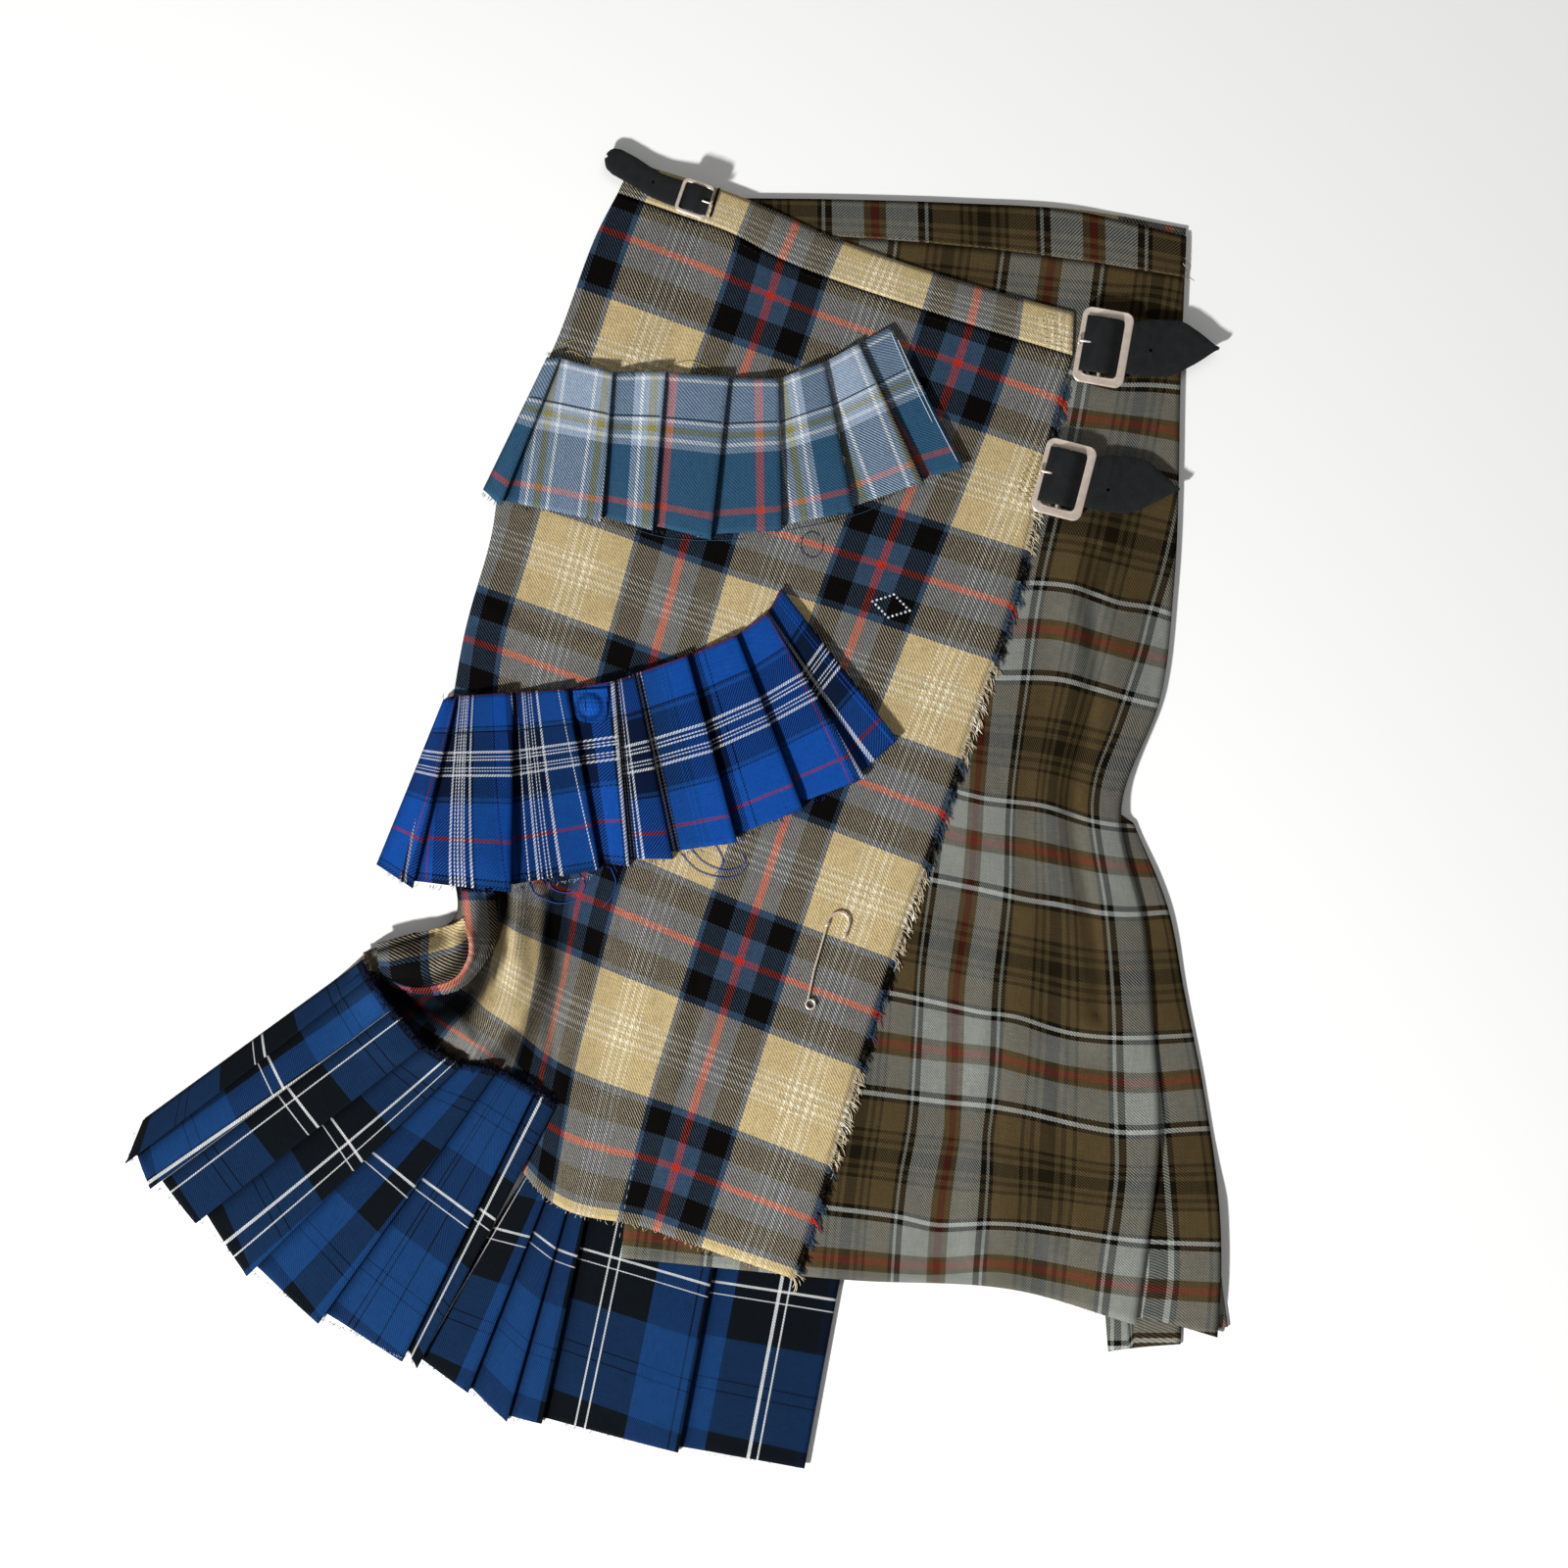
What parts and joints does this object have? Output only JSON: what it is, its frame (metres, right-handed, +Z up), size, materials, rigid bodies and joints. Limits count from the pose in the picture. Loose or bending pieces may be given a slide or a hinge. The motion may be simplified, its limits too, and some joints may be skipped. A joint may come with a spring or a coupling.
{
  "type": "patchwork wrap kilt laid flat",
  "caption": "Wrap kilt laid flat, with a tan check apron over a brown check kilt, two pleated ruffles, a gathered flounce, leather straps with buckles and a kilt pin",
  "frame": {"origin": "centre of the footprint of the laid-out garment, on the surface it lies on", "axes": "+X to the right as seen from above with the waist away, +Y from hem to waist, +Z up"},
  "size_m": [0.604, 0.7242, 0.0242],
  "materials": {
    "tan_check": "matte brushed twill, tan, black and blue check with red lines",
    "weathered_check": "matte worsted twill, brown and grey check",
    "light_blue_check": "matte worsted twill, light and teal blue check",
    "bright_blue_check": "matte brushed twill, bright blue and navy check",
    "dark_blue_check": "matte twill, royal blue, navy and black check with white lines",
    "leather": "matte black",
    "nickel": "satin warm nickel"
  },
  "bodies": {
    "root": {"back_waistband": "tan_check", "back_panel": "weathered_check", "back_pleat": "weathered_check", "side_return": "weathered_check", "side_pleat": "weathered_check", "front_waistband": "weathered_check", "front_panel": "weathered_check", "apron_waistband": "tan_check", "front_apron": "tan_check", "apron_fringe": "tan_check", "flounce_right": "dark_blue_check", "flounce_left": "dark_blue_check", "flounce_fringe": "dark_blue_check", "ruffle_upper": "light_blue_check", "ruffle_lower": "bright_blue_check", "strap_upper": "leather", "strap_lower": "leather", "strap_small": "leather", "buckle_upper": "nickel", "buckle_lower": "nickel", "buckle_small": "nickel", "prong_upper": "nickel", "prong_lower": "nickel", "prong_small": "nickel", "kilt_pin": "nickel"}
  },
  "joints": []
}
